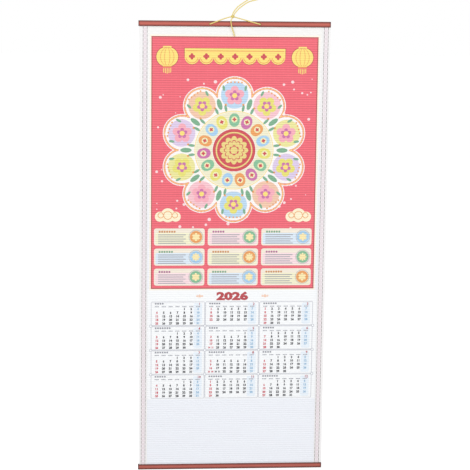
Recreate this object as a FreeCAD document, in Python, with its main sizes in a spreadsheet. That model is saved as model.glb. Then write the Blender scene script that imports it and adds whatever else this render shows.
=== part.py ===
import FreeCAD, Part
import math
import os

import Sketcher

# Wall calendar: a printed mat of cane slats with edging tapes, held in a slotted rod at the top
# and one at the bottom, and hung by a cord that is knotted above the top rod.
# Millimetres. +X is to the viewer's right, +Z is up and the printed front faces -Y. The origin is
# the middle of the top rod's back, where the calendar meets the wall.

SIZES = [
    # Rods: one extruded section, with a slot that grips the mat.
    ("rod_length", 320.0),
    ("rod_height", 9.2),
    ("rod_depth", 6.0),
    ("rod_edge_depth", 5.3),
    ("rod_corner", 0.45),
    ("rod_spacing", 765.0),
    ("slot_back_wall", 1.4),
    ("slot_depth", 7.8),
    ("slot_clearance", 0.15),
    # Mat: flat canes side by side, seen as ridges on both faces.
    ("mat_width", 317.2),
    ("mat_shift", 0.8),
    ("mat_thickness", 1.8),
    ("mat_insert", 3.5),
    ("rib_pitch", 3.84),
    ("rib_depth", 0.45),
    # Edging tapes, folded round the mat's sides.
    ("tape_width", 13.0),
    ("tape_thickness", 0.35),
    ("tape_gap", 0.05),
    # Hanging cord and its two holes in the top rod's front wall.
    ("cord_diameter", 2.0),
    ("hole_diameter", 3.0),
    ("hole_spacing", 84.0),
    ("hole_height", -0.3),
    ("knot_width", 6.8),
    ("knot_depth", 5.4),
    ("knot_height", 5.8),
    # Print: thin fields of colour on the ridges. A drop is measured down from the top rod's middle.
    ("ink_thickness", 0.1),
    ("ink_gap", 0.05),
    ("panel_drop", 21.2),
    ("panel_side", 8.3),
    ("panel_foot", 5.8),
    ("garland_width", 168.0),
    ("garland_height", 14.0),
    ("garland_drop", 55.0),
    ("scallop_count", 7.0),
    ("lantern_gap", 11.0),
    ("lantern_drop", 57.0),
    ("lantern_width", 36.0),
    ("lantern_height", 44.0),
    ("lantern_cap", 15.0),
    ("rosette_gap", 21.0),
    ("lobe_count", 10.0),
    ("lobe_ring", 92.0),
    ("lobe_radius", 31.0),
    ("blossom_radius", 15.0),
    ("petal_count", 15.0),
    ("petal_gap", 0.8),
    ("hub_radius", 36.0),
    ("hub_gap", 4.8),
    ("ring_radius", 31.0),
    ("ring_width", 3.0),
    ("cloud_radius", 12.0),
    ("cloud_side", 6.5),
    ("cloud_foot", 10.5),
    ("puff_share", 0.72),
    ("puff_step", 1.1),
    ("card_columns", 3.0),
    ("card_rows", 3.0),
    ("card_height", 29.5),
    ("card_gap", 5.2),
    ("card_side", 5.1),
    ("card_head", 10.5),
    ("month_columns", 3.0),
    ("month_rows", 4.0),
    ("month_width", 92.9),
    ("month_height", 42.9),
    ("month_head", 24.3),
    ("dates_width", 76.0),
    ("dates_height", 24.0),
    ("dates_foot", 5.4),
]

doc = FreeCAD.newDocument("wall_calendar")
sheet = doc.addObject("Spreadsheet::Sheet", "Sizes")
for row, (alias, value) in enumerate(SIZES, start=1):
    sheet.set(f"A{row}", alias)
    sheet.set(f"B{row}", str(value))
    sheet.setAlias(f"B{row}", alias)
doc.recompute()

# Levels of print, from the mat outwards.
PANEL, SHAPES, DETAILS, HUB_RING = range(4)
QUARTER_TURN = 90


def size(alias):
    return float(getattr(sheet, alias))


def bind(item, **expressions):
    """Ties properties to sheet values; base_x, base_y and base_z stand for the item's place."""
    for name, expression in expressions.items():
        path = name.replace("base_", "Placement.Base.") if name.startswith("base_") else name
        item.setExpression(path, expression)


def values(expression):
    """Writes sheet names, marked with a colon, as references to the sheet."""
    return expression.replace(":", "Sizes.")


# Derived places in the slot's depth, shared by rods, mat, tapes and print.
SLOT_WIDTH = values("(:mat_thickness + 2 * (:tape_gap + :tape_thickness + :slot_clearance))")
MAT_Y = values("(0 - :slot_back_wall - ") + SLOT_WIDTH + " / 2)"
CANE_COUNT = int(
    (size("rod_spacing") - size("rod_height") + 2 * size("mat_insert")) // size("rib_pitch")
)
MAT_LENGTH = values(f"({CANE_COUNT} * :rib_pitch)")
MAT_BOTTOM = values("(0 - :rod_spacing / 2 - ") + MAT_LENGTH + " / 2)"


# Derived places in the print: from the garland down to the months, each row below the one before.
LANTERN_X = values("(:garland_width / 2 + :lantern_gap + :lantern_width / 2)")
PANEL_WIDTH = values("(:garland_width + 2 * (:lantern_gap + :lantern_width + :panel_side))")
SCALLOP_RADIUS = values("(:garland_width / :scallop_count / 2)")
ROSETTE_TOP = values(f"(:garland_drop + {SCALLOP_RADIUS} + :rosette_gap)")
ROSETTE_DROP = values(f"({ROSETTE_TOP} + :lobe_ring + :lobe_radius)")
CARD_DROP = values(f"({ROSETTE_DROP} + :lobe_ring + :lobe_radius + :card_head)")
CARD_WIDTH = values(f"(({PANEL_WIDTH} - 2 * :card_side + :card_gap) / :card_columns - :card_gap)")
CARDS_HEIGHT = values("(:card_rows * (:card_height + :card_gap) - :card_gap)")
CLOUD_DROP = values(f"({CARD_DROP} - :cloud_foot - :cloud_radius)")
CLOUD_X = values(f"({PANEL_WIDTH} / 2 - :cloud_side - (:puff_step + :puff_share) * :cloud_radius)")
PANEL_FOOT = values(f"({CARD_DROP} + {CARDS_HEIGHT} + :panel_foot)")
MONTH_DROP = values(f"({PANEL_FOOT} + :month_head)")

# Petals stand side by side round the hub, so their radius follows from their number.
PETAL_SHARE = values("sin(180 / :petal_count * 1 deg)")
PETAL_ROOM = values(f"((:hub_radius + :hub_gap) * {PETAL_SHARE} - :petal_gap / 2)")
PETAL_RADIUS = f"({PETAL_ROOM} / (1 - {PETAL_SHARE}))"
PETAL_RING = values(f"(:hub_radius + :hub_gap + {PETAL_RADIUS})")


def slot_width():
    sides = size("tape_gap") + size("tape_thickness") + size("slot_clearance")
    return size("mat_thickness") + 2 * sides


def mat_y():
    return -size("slot_back_wall") - slot_width() / 2


def mat_top():
    return -size("rod_spacing") / 2 + CANE_COUNT * size("rib_pitch") / 2


# Rods

def plane_of(body, role):
    return next(item for item in body.Origin.OriginFeatures if item.Role == role)


def rod_section(body):
    """The rod's section across its length: flat back, domed front and a slot open below."""
    half = size("rod_height") / 2
    edge, depth = size("rod_edge_depth"), size("rod_depth")
    back, slot = size("slot_back_wall"), slot_width()
    slot_top = size("slot_depth") - half
    dome = depth - edge
    radius = (half ** 2 + dome ** 2) / (2 * dome)
    turn = math.asin(half / radius)
    sketch = body.newObject("Sketcher::SketchObject", body.Name + "_section")
    sketch.AttachmentSupport = [(plane_of(body, "YZ_Plane"), "")]
    sketch.MapMode = "FlatFace"
    corners = [
        (0, -half), (0, half), (-edge, half), (-edge, -half), (-back - slot, -half),
        (-back - slot, slot_top), (-back, slot_top), (-back, -half),
    ]
    points = [FreeCAD.Vector(y, z, 0) for y, z in corners]
    for index, start in enumerate(points):
        if index == 2:
            centre = FreeCAD.Vector(radius - depth, 0, 0)
            circle = Part.Circle(centre, FreeCAD.Vector(0, 0, 1), radius)
            sketch.addGeometry(Part.ArcOfCircle(circle, math.pi - turn, math.pi + turn))
        else:
            sketch.addGeometry(Part.LineSegment(start, points[(index + 1) % len(points)]))
    constrain_section(sketch, len(points))
    return sketch


def constrain_section(sketch, sides):
    back, top, front, front_land, slot_front, slot_roof, slot_back, back_land = range(sides)
    origin, axis = -1, -1
    for side in range(sides):
        meeting = Sketcher.Constraint("Coincident", side, 2, (side + 1) % sides, 1)
        sketch.addConstraint(meeting)
    for side in (top, front_land, slot_roof, back_land):
        sketch.addConstraint(Sketcher.Constraint("Horizontal", side))
    for side in (back, slot_front, slot_back):
        sketch.addConstraint(Sketcher.Constraint("Vertical", side))
    sketch.addConstraint(Sketcher.Constraint("Symmetric", back, 1, back, 2, origin, 1))
    sketch.addConstraint(Sketcher.Constraint("Symmetric", front, 1, front, 2, axis))
    half, dome = values(":rod_height / 2"), values("(:rod_depth - :rod_edge_depth)")
    driven = [
        ("DistanceY", (back, 1, back, 2), values(":rod_height")),
        ("DistanceX", (top, 2, top, 1), values(":rod_edge_depth")),
        ("DistanceX", (back_land, 1, back_land, 2), values(":slot_back_wall")),
        ("DistanceX", (slot_roof, 1, slot_roof, 2), SLOT_WIDTH),
        ("DistanceY", (slot_front, 1, slot_front, 2), values(":slot_depth")),
        ("Radius", (front,), f"(({half}) ^ 2 + {dome} ^ 2) / (2 * {dome})"),
    ]
    for kind, ends, expression in driven:
        place = sketch.addConstraint(Sketcher.Constraint(kind, *ends, measured(sketch, kind, ends)))
        sketch.setExpression(f"Constraints[{place}]", expression)


def measured(sketch, kind, ends):
    """The present value of a distance or radius, so that its constraint starts out true."""
    if kind == "Radius":
        return sketch.Geometry[ends[0]].Radius
    gap = sketch.getPoint(ends[2], ends[3]) - sketch.getPoint(ends[0], ends[1])
    return gap.x if kind == "DistanceX" else gap.y


def round_long_corners(body, rod):
    """Rounds the four long outer corners of the rod."""
    half, edge = size("rod_height") / 2, size("rod_edge_depth")
    corners = []
    for number, line in enumerate(rod.Shape.Edges, start=1):
        middle = line.BoundBox.Center
        outer = abs(abs(middle.z) - half) < 1e-4
        side = min(abs(middle.y), abs(middle.y + edge)) < 1e-4
        if outer and side and line.BoundBox.XLength > size("rod_length") / 2:
            corners.append(f"Edge{number}")
    fillet = body.newObject("PartDesign::Fillet", body.Name + "_corners")
    fillet.Base = (rod, corners)
    bind(fillet, Radius=values(":rod_corner"))
    return fillet


def drill_cord_holes(body):
    """Two holes from the slot out through the front wall, for the hanging cord."""
    sketch = body.newObject("Sketcher::SketchObject", body.Name + "_holes")
    sketch.AttachmentSupport = [(plane_of(body, "XZ_Plane"), "")]
    sketch.MapMode = "FlatFace"
    sketch.setExpression("AttachmentOffset.Base.z", "0 - " + MAT_Y)
    for number, side in enumerate((-1, 1)):
        centre = FreeCAD.Vector(side * size("hole_spacing") / 2, size("hole_height"), 0)
        radius = size("hole_diameter") / 2
        sketch.addGeometry(Part.Circle(centre, FreeCAD.Vector(0, 0, 1), radius))
        driven = [
            ("Diameter", (number,), 2 * radius, ":hole_diameter"),
            ("DistanceX", (-1, 1, number, 3), centre.x, f"{side} * :hole_spacing / 2"),
            ("DistanceY", (-1, 1, number, 3), centre.y, ":hole_height"),
        ]
        for kind, ends, value, expression in driven:
            place = sketch.addConstraint(Sketcher.Constraint(kind, *ends, value))
            sketch.setExpression(f"Constraints[{place}]", values(expression))
    before = body.Tip.Shape.Volume
    pocket = body.newObject("PartDesign::Pocket", body.Name + "_cord_holes")
    pocket.Profile = sketch
    pocket.Type = "ThroughAll"
    pocket.Reversed = True
    doc.recompute()
    if pocket.Shape.Volume >= before:
        raise RuntimeError("the cord holes cut nothing")


def rod(name, holes):
    body = doc.addObject("PartDesign::Body", name)
    section = rod_section(body)
    length = body.newObject("PartDesign::Pad", name + "_length")
    length.Profile = section
    length.SideType = "Symmetric"
    bind(length, Length=values(":rod_length"))
    doc.recompute()
    round_long_corners(body, length)
    doc.recompute()
    if holes:
        drill_cord_holes(body)
    return body


def make_rods():
    top = rod("top_rod", holes=True)
    bottom = rod("bottom_rod", holes=False)
    upside_down = FreeCAD.Rotation(FreeCAD.Vector(0, 1, 0), 180)
    bottom.Placement = FreeCAD.Placement(FreeCAD.Vector(), upside_down)
    bind(bottom, base_z=values("0 - :rod_spacing"))
    return [top, bottom]


# Mat and tapes

def ridge_line(first, last, reach):
    """Valley and crest points of one ridged face, from cane first to cane last.
    reach is how far the crest stands from the mat's middle; the valley lies a rib's depth less."""
    pitch, depth = size("rib_pitch"), size("rib_depth")
    sign = math.copysign(1, reach)
    top = mat_top()
    points = []
    for cane in range(first, last):
        points.append((mat_y() + reach - sign * depth, top - cane * pitch))
        points.append((mat_y() + reach, top - (cane + 0.5) * pitch))
    points.append((mat_y() + reach - sign * depth, top - last * pitch))
    return points


def ridged_solid(points):
    """The closed outline points (y, z) carried along the mat's width."""
    left = size("mat_shift") - size("mat_width") / 2
    corners = [FreeCAD.Vector(left, y, z) for y, z in points + points[:1]]
    face = Part.Face(Part.makePolygon(corners))
    return face.extrude(FreeCAD.Vector(size("mat_width"), 0, 0))


def make_mat():
    reach = size("mat_thickness") / 2
    front = ridge_line(0, CANE_COUNT, -reach)
    back = ridge_line(0, CANE_COUNT, reach)
    mat = doc.addObject("Part::Feature", "cane_mat")
    mat.Shape = ridged_solid(front + back[::-1])
    return mat


def make_tape(name, side):
    """A tape folded round one side of the mat: a block less the room that the mat takes."""
    folded = values("(:mat_thickness + 2 * (:tape_gap + :tape_thickness))")
    room = values("(:mat_thickness + 2 * :tape_gap)")
    mat_side = values(f"(:mat_shift + {side} * :mat_width / 2)")
    fold = values(f"{side} * (:tape_gap + :tape_thickness)")
    inner = values(f"{side} * :tape_gap")
    block = doc.addObject("Part::Box", name + "_block")
    bind(block, Length=values(":tape_width + :tape_gap + :tape_thickness"), Width=folded,
         Height=MAT_LENGTH, base_y=f"{MAT_Y} - {folded} / 2", base_z=MAT_BOTTOM)
    hollow = doc.addObject("Part::Box", name + "_hollow")
    bind(hollow, Length=values("2 * :tape_width"), Width=room,
         Height=values(f"{MAT_LENGTH} + 2 * :tape_width"),
         base_y=f"{MAT_Y} - {room} / 2", base_z=values(f"{MAT_BOTTOM} - :tape_width"))
    if side < 0:
        bind(block, base_x=f"{mat_side} + {fold}")
        bind(hollow, base_x=f"{mat_side} + {inner}")
    else:
        bind(block, base_x=values(f"{mat_side} - :tape_width"))
        bind(hollow, base_x=values(f"{mat_side} + {inner} - 2 * :tape_width"))
    tape = doc.addObject("Part::Cut", name)
    tape.Base = block
    tape.Tool = hollow
    return tape


# Print

def crest(level):
    """The plane of the ridges' crests, in front of the mat by that many levels of print."""
    return values(f"({MAT_Y} - :mat_thickness / 2 - :ink_gap - {level} * (:ink_gap + :ink_thickness))")


def upright_box(name, width, height, middle_x, bottom_z, level=SHAPES):
    """A thin rectangle on the crests, seen from the front."""
    box = doc.addObject("Part::Box", name)
    bind(box, Length=values(width), Width=values(":ink_thickness"), Height=values(height),
         base_x=values(f":mat_shift + {middle_x} - ({width}) / 2"),
         base_y=values(f"{crest(level)} - :ink_thickness"), base_z=values(bottom_z))
    return box


def upright_disc(name, radius, middle_x, middle_z, level=SHAPES):
    """A thin disc on the crests, seen from the front."""
    disc = doc.addObject("Part::Cylinder", name)
    facing = FreeCAD.Rotation(FreeCAD.Vector(1, 0, 0), QUARTER_TURN)
    disc.Placement = FreeCAD.Placement(FreeCAD.Vector(), facing)
    bind(disc, Radius=values(radius), Height=values(":ink_thickness"),
         base_x=values(f":mat_shift + {middle_x}"), base_y=crest(level), base_z=values(middle_z))
    return disc


def joined(name, items):
    """One outline made of shapes that overlap."""
    group = doc.addObject("Part::MultiFuse", name)
    group.Shapes = items
    group.Refine = True
    return group


def apart(name, items):
    """One colour's shapes, each a solid of its own."""
    group = doc.addObject("Part::Compound", name)
    group.Links = items
    return group


def around(count, ring, index):
    """Expressions for the place of one of count items on a ring round the rosette's middle."""
    angle = f"({QUARTER_TURN} + 360 * {index} / :{count})"
    across = f"({ring} * cos({angle} * 1 deg))"
    above = f"({ring} * sin({angle} * 1 deg) - {ROSETTE_DROP})"
    return across, above


def make_panel():
    """The red panel: a rectangle's share of a thin layer that follows the ridges."""
    outline = doc.addObject("Part::Box", "panel_outline")
    bind(outline, Length=PANEL_WIDTH, Width=values(":slot_back_wall + :rod_depth"),
         Height=values(f"{PANEL_FOOT} - :panel_drop"),
         base_x=values(f":mat_shift - {PANEL_WIDTH} / 2"),
         base_y=values("0 - :slot_back_wall - :rod_depth"), base_z=f"0 - {PANEL_FOOT}")
    doc.recompute()
    pitch, reach = size("rib_pitch"), outline.Shape.BoundBox
    first = int((mat_top() - reach.ZMax) // pitch)
    last = int((mat_top() - reach.ZMin) // pitch) + 1
    back = size("mat_thickness") / 2 + size("ink_gap")
    near = ridge_line(first, last, -back)
    far = ridge_line(first, last, -back - size("ink_thickness"))
    layer = doc.addObject("Part::Feature", "panel_layer")
    layer.Shape = ridged_solid(near + far[::-1])
    panel = doc.addObject("Part::Common", "print_red_panel")
    panel.Base = outline
    panel.Tool = layer
    return panel


def make_garland():
    """A yellow band with a row of round scallops along its lower side."""
    band = upright_box("garland_band", ":garland_width", ":garland_height", "0",
                       "0 - :garland_drop")
    scallops = [band]
    for index in range(int(size("scallop_count"))):
        middle = f"({2 * index + 1} - :scallop_count) * {SCALLOP_RADIUS}"
        scallops.append(upright_disc(f"scallop_{index}", SCALLOP_RADIUS, middle,
                                     "0 - :garland_drop"))
    return joined("print_garland", scallops)


def make_lanterns():
    """Two lanterns in the upper corners, each a disc with a flat cap through it."""
    lanterns = []
    for side in (-1, 1):
        middle = f"{side} * {LANTERN_X}"
        body = upright_disc(f"lantern_{side + 1}_body", ":lantern_width / 2", middle,
                            "0 - :lantern_drop")
        caps = upright_box(f"lantern_{side + 1}_caps", ":lantern_cap", ":lantern_height", middle,
                           "0 - :lantern_drop - :lantern_height / 2")
        lanterns.append(joined(f"lantern_{side + 1}", [body, caps]))
    return apart("print_lanterns", lanterns)


def make_clouds():
    """Two clouds beside the rosette's foot, each of three discs in a row."""
    clouds = []
    for side in (-1, 1):
        puffs = []
        for step in (-1, 0, 1):
            share = ":puff_share * :cloud_radius" if step else ":cloud_radius"
            middle = f"{side} * {CLOUD_X} + {step} * :puff_step * :cloud_radius"
            puffs.append(upright_disc(f"cloud_{side + 1}_{step + 1}", share, middle,
                                      f"0 - {CLOUD_DROP}"))
        clouds.append(joined(f"cloud_{side + 1}", puffs))
    return apart("print_clouds", clouds)


def make_rosette():
    """The white rosette: a disc with a ring of round lobes."""
    discs = [upright_disc("rosette_disc", ":lobe_ring", "0", f"0 - {ROSETTE_DROP}")]
    for lobe in range(int(size("lobe_count"))):
        across, above = around("lobe_count", ":lobe_ring", lobe)
        discs.append(upright_disc(f"lobe_{lobe}", ":lobe_radius", across, above))
    return joined("print_rosette", discs)


def make_ring(names, count, ring, radius):
    """Discs round the rosette's middle, in the named colours by turns."""
    colours = {name: [] for name in names}
    for index in range(int(size(count))):
        across, above = around(count, ring, index)
        name = names[index % len(names)]
        colours[name].append(upright_disc(f"{name}_{index}", radius, across, above, DETAILS))
    return [apart(name, items) for name, items in colours.items()]


def make_blossoms():
    names = ("print_pink_blossoms", "print_yellow_blossoms")
    return make_ring(names, "lobe_count", ":lobe_ring", ":blossom_radius")


def make_petals():
    names = ("print_green_petals", "print_rose_petals", "print_orange_petals",
             "print_blue_petals", "print_lemon_petals")
    return make_ring(names, "petal_count", PETAL_RING, PETAL_RADIUS)


def make_hub():
    """The red hub in the rosette's middle, and the gold ring on it."""
    place = ("0", f"0 - {ROSETTE_DROP}")
    hub = upright_disc("print_red_hub", ":hub_radius", *place, DETAILS)
    outer = upright_disc("ring_outer", ":ring_radius", *place, HUB_RING)
    inner = upright_disc("ring_inner", ":ring_radius - :ring_width", *place, HUB_RING)
    ring = doc.addObject("Part::Cut", "print_gold_ring")
    ring.Base = outer
    ring.Tool = inner
    return [hub, ring]


def grid_place(columns, column, pitch_x):
    return f"({column} - (:{columns} - 1) / 2) * {pitch_x}"


def make_cards():
    """Rows of cream cards at the foot of the red panel."""
    pitch_x, pitch_z = f"({CARD_WIDTH} + :card_gap)", "(:card_height + :card_gap)"
    cards = []
    for row in range(int(size("card_rows"))):
        for column in range(int(size("card_columns"))):
            foot = f"0 - {CARD_DROP} - {row} * {pitch_z} - :card_height"
            cards.append(upright_box(f"card_{row}_{column}", CARD_WIDTH, ":card_height",
                                     grid_place("card_columns", column, pitch_x), foot))
    return apart("print_cards", cards)


def make_dates():
    """A pale grey field for the rows of dates in each of the twelve months."""
    blocks = []
    for row in range(int(size("month_rows"))):
        for column in range(int(size("month_columns"))):
            foot = f"0 - {MONTH_DROP} - {row + 1} * :month_height + :dates_foot"
            blocks.append(upright_box(f"dates_{row}_{column}", ":dates_width", ":dates_height",
                                      grid_place("month_columns", column, ":month_width"), foot,
                                      PANEL))
    return apart("print_date_blocks", blocks)


# Hanging cord

# Each route's points are (x, y, z). The cord comes out of the knot, lies taut over the rod's front,
# runs inside the slot from hole to hole and goes back to the knot.
CORD_ROUTE = [
    (-6.3, -5.8, 11.7), (-12.6, -6.0, 11.0), (-42.0, -7.5, -0.3), (-42.0, -2.85, -0.3),
    (42.0, -2.85, -0.3), (42.0, -7.5, -0.3), (-1.9, -6.2, 11.6),
]
LOOP_ROUTE = [
    (-4.7, -5.4, 13.8), (-4.0, -5.3, 17.6), (-0.4, -5.1, 23.2), (4.4, -4.7, 28.6),
    (11.3, -4.2, 33.6), (20.2, -3.6, 39.2), (27.8, -3.1, 44.9), (33.6, -2.8, 48.6),
    (39.6, -2.6, 46.4), (38.6, -2.7, 40.4), (31.0, -3.0, 39.0), (22.0, -3.6, 36.6),
    (13.4, -4.2, 31.0), (6.7, -4.7, 25.8), (1.9, -5.1, 20.8), (-1.4, -5.4, 16.6),
    (-2.3, -5.2, 13.9),
]
TAIL_ROUTE = [
    (-5.0, -7.4, 9.9), (-7.3, -7.7, 6.6), (-7.0, -7.6, 0.9), (-5.5, -7.4, -5.2),
    (-3.5, -6.7, -11.3), (-1.6, -5.9, -16.2), (-0.9, -5.6, -20.2),
]
KNOT_MIDDLE = FreeCAD.Vector(-4.2, -5.8, 12.0)
ARC_SHARE = 0.45


def rounded_path(route):
    """Straight runs joined by tangent arcs, each as large as its two runs allow."""
    points = [FreeCAD.Vector(*place) for place in route]
    edges, radii = [], []
    here = points[0]
    for before, corner, after in zip(points, points[1:], points[2:]):
        back, ahead = before - corner, after - corner
        turn = math.pi - back.getAngle(ahead)
        reach = ARC_SHARE * min(back.Length, ahead.Length)
        radii.append(reach / math.tan(turn / 2))
        start = corner + back.normalize() * reach
        end = corner + ahead.normalize() * reach
        inward = (back + ahead).normalize()
        rise = radii[-1] / math.cos(turn / 2) - radii[-1]
        edges.append(Part.LineSegment(here, start).toShape())
        edges.append(Part.Arc(start, corner + inward * rise, end).toShape())
        here = end
    edges.append(Part.LineSegment(here, points[-1]).toShape())
    return Part.Wire(edges), radii


def make_cord(name, route):
    path, radii = rounded_path(route)
    start = path.Edges[0]
    radius = size("cord_diameter") / 2
    ring = Part.makeCircle(radius, start.Vertexes[0].Point, start.tangentAt(start.FirstParameter))
    cord = doc.addObject("Part::Feature", name)
    cord.Shape = path.makePipeShell([Part.Wire(ring)], True, False)
    expected = math.pi * radius ** 2 * path.Length
    print(name, "length", round(path.Length, 1), "radii", [round(radius, 1) for radius in radii],
          "volume ratio", round(cord.Shape.Volume / expected, 4))
    return cord


def make_knot(cords):
    """The knot's outer shape, with a socket for each strand that goes into it."""
    lump = doc.addObject("Part::Ellipsoid", "knot_lump")
    lump.Placement = FreeCAD.Placement(KNOT_MIDDLE, FreeCAD.Rotation())
    bind(lump, Radius1=values(":knot_height / 2"), Radius2=values(":knot_width / 2"),
         Radius3=values(":knot_depth / 2"))
    strands = doc.addObject("Part::Compound", "knot_strands")
    strands.Links = cords
    knot = doc.addObject("Part::Cut", "cord_knot")
    knot.Base = lump
    knot.Tool = strands
    return knot


def make_hanger():
    cords = [make_cord("hanging_cord", CORD_ROUTE), make_cord("cord_loop", LOOP_ROUTE),
             make_cord("cord_tail", TAIL_ROUTE)]
    return cords + [make_knot(cords)]


def check(parts):
    doc.recompute()
    for item in doc.Objects:
        if "Invalid" in item.State or "Error" in item.State:
            raise RuntimeError(f"{item.Name} failed: {item.State}")
    for part in parts:
        if part.Shape.isNull() or not part.Shape.isValid() or not part.Shape.Solids:
            raise RuntimeError(f"{part.Label} has no valid solid")


def main():
    parts = make_rods()
    parts += [make_mat(), make_tape("left_edging_tape", -1), make_tape("right_edging_tape", 1)]
    parts += [make_panel(), make_garland(), make_lanterns(), make_clouds(), make_rosette()]
    parts += make_blossoms() + make_petals() + make_hub() + [make_cards(), make_dates()]
    parts += make_hanger()
    check(parts)
    os.makedirs("parts", exist_ok=True)
    for part in parts:
        part.Shape.exportStep(f"parts/{part.Label}.step")


main()
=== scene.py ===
import math
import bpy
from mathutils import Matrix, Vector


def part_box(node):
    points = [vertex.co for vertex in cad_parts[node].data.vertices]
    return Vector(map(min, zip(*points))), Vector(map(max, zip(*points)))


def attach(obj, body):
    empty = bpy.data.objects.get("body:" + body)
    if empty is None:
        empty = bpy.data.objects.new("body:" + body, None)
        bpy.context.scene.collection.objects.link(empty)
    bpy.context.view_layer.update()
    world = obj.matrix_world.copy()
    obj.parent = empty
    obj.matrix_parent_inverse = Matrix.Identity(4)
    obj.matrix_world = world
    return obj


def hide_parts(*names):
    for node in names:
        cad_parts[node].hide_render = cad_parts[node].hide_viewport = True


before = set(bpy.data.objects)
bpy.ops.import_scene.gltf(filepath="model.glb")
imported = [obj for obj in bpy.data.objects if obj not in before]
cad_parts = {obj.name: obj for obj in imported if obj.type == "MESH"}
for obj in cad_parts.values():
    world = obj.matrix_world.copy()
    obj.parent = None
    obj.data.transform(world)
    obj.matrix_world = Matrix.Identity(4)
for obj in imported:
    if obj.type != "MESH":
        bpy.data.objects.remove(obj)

from calendar import monthrange

import bpy
import numpy as np
from bpy.props import FloatProperty, FloatVectorProperty, IntProperty, PointerProperty

bl_info = {
    "name": "Cane wall calendar",
    "version": (1, 0, 0),
    "blender": (4, 5, 0),
    "location": "View3D > Sidebar > Calendar",
    "description": "Builds the mat, print, rods, tapes and cord of a cane wall calendar",
    "category": "Object",
}

MM = 0.001
TURN = 2 * math.pi
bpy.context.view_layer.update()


def box(node):
    """The lowest and the highest corner of a CAD node."""
    return [np.array(corner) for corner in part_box(node)]


MAT_LOW, MAT_HIGH = box("cane_mat")
PANEL_LOW, PANEL_HIGH = box("print_red_panel")
TOP_LOW, TOP_HIGH = box("top_rod")
PRINT_X = float(MAT_LOW[0] + MAT_HIGH[0]) / 2
HUB_Z, ROD_TOP_Z, ROD_FOOT_Z = (float(sum(corner[2] for corner in box(node))) / 2
                                for node in ("print_red_hub", "top_rod", "bottom_rod"))
ROD_HALF = float(TOP_HIGH[2] - TOP_LOW[2]) / 2


def srgb(red, green, blue):
    """A screen colour, 0 to 255, as the linear colour that a shader takes."""
    parts = np.array([red, green, blue]) / 255
    linear = np.where(parts <= 0.04045, parts / 12.92, ((parts + 0.055) / 1.055) ** 2.4)
    return tuple(float(part) for part in linear)


# Properties

def length(name, description, default):
    return FloatProperty(name=name, description=description, default=default, unit="LENGTH",
                         precision=5)


def colour(name, description, *screen):
    return FloatVectorProperty(name=name, description=description, default=srgb(*screen),
                               subtype="COLOR", size=3, min=0, max=1)


class CalendarSizes(bpy.types.PropertyGroup):
    rib_pitch: length("Cane pitch", "Height of one cane in the mat", 3.84 * MM)
    rib_depth: length("Rib depth", "How far the seams lie behind the crests", 0.42 * MM)
    rows: IntProperty(name="Rows", description="Rows of faces on each cane", default=6)
    fine_rows: IntProperty(name="Fine rows", description="Rows of faces on each cane for numbers",
                           default=24)
    ink_step: length("Ink step", "How far each level of print lies above the last", 0.04 * MM)
    border: length("Border", "Width of the cream border round the panel", 2.6 * MM)
    digit_height: length("Digits", "Height of the day numbers", 4.3 * MM)
    year_height: length("Year", "Height of the year's numerals", 15.5 * MM)
    cord: length("Cord", "Diameter of the hanging cord", 2.0 * MM)
    year: IntProperty(name="Year", description="The year whose days are laid out", default=2026)


class CalendarColours(bpy.types.PropertyGroup):
    paper: colour("Paper", "Bare canes", 238, 241, 248)
    warm_paper: colour("Warm paper", "Bare canes at the mat's top", 242, 241, 239)
    rod: colour("Rods", "Red-brown plastic", 196, 96, 82)
    tape: colour("Tape", "Edging ribbon", 241, 240, 240)
    gold: colour("Gold thread", "Hanging cord", 250, 225, 106)
    red: colour("Red", "Panel", 241, 97, 113)
    crimson: colour("Crimson", "Hub and numerals", 205, 62, 72)
    brown: colour("Red-brown", "Dark lines round the yellow and red fields", 190, 78, 78)
    yellow: colour("Yellow", "Garland and lanterns", 252, 224, 118)
    orange: colour("Orange", "Lines on yellow", 236, 158, 84)
    hub_gold: colour("Deep gold", "The hub's bloom and band", 234, 212, 128)
    cream: colour("Cream", "Cards and outlines", 253, 243, 226)
    white: colour("White", "Rosette", 250, 246, 244)
    pink: colour("Pink", "Blossoms", 246, 172, 186)
    rose: colour("Rose", "Petals", 202, 108, 168)
    lemon: colour("Lemon", "Petals and blossoms", 232, 224, 110)
    green: colour("Green", "Petals", 130, 190, 150)
    blue: colour("Blue", "Petals", 164, 206, 238)
    lilac: colour("Lilac", "Soft fields", 222, 204, 234)
    grey: colour("Grey", "Frames", 176, 178, 190)
    field: colour("White field", "Behind the months", 246, 248, 250)
    petal_field: colour("Petal field", "Behind the petals", 240, 235, 204)
    ink: colour("Dark ink", "Weekday numbers", 34, 34, 44)
    sunday: colour("Red ink", "Sunday numbers", 206, 84, 98)
    saturday: colour("Blue ink", "Saturday numbers", 148, 186, 216)
    saturday_tint: colour("Blue tint", "Behind the Saturdays", 232, 241, 250)
    band: colour("Band", "Printed band on the tapes", 241, 232, 237)
    band_line: colour("Band line", "Lines beside the band", 150, 142, 142)
    band_fret: colour("Band fret", "Small steps on the band", 204, 182, 188)


def sizes():
    return bpy.context.scene.calendar_sizes


def tone_of(name):
    return tuple(getattr(bpy.context.scene.calendar_colours, name))


# Shader expressions

def maths(operation, swapped=False):
    """A method that adds a Math node of the value and another one, or of the two swapped."""
    def method(self, *others):
        given = (*others, self) if swapped else (self, *others)
        node = self.shader.node("ShaderNodeMath", *given, settings=[("operation", operation)])
        return Number(self.shader, node.outputs[0])
    return method


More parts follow.
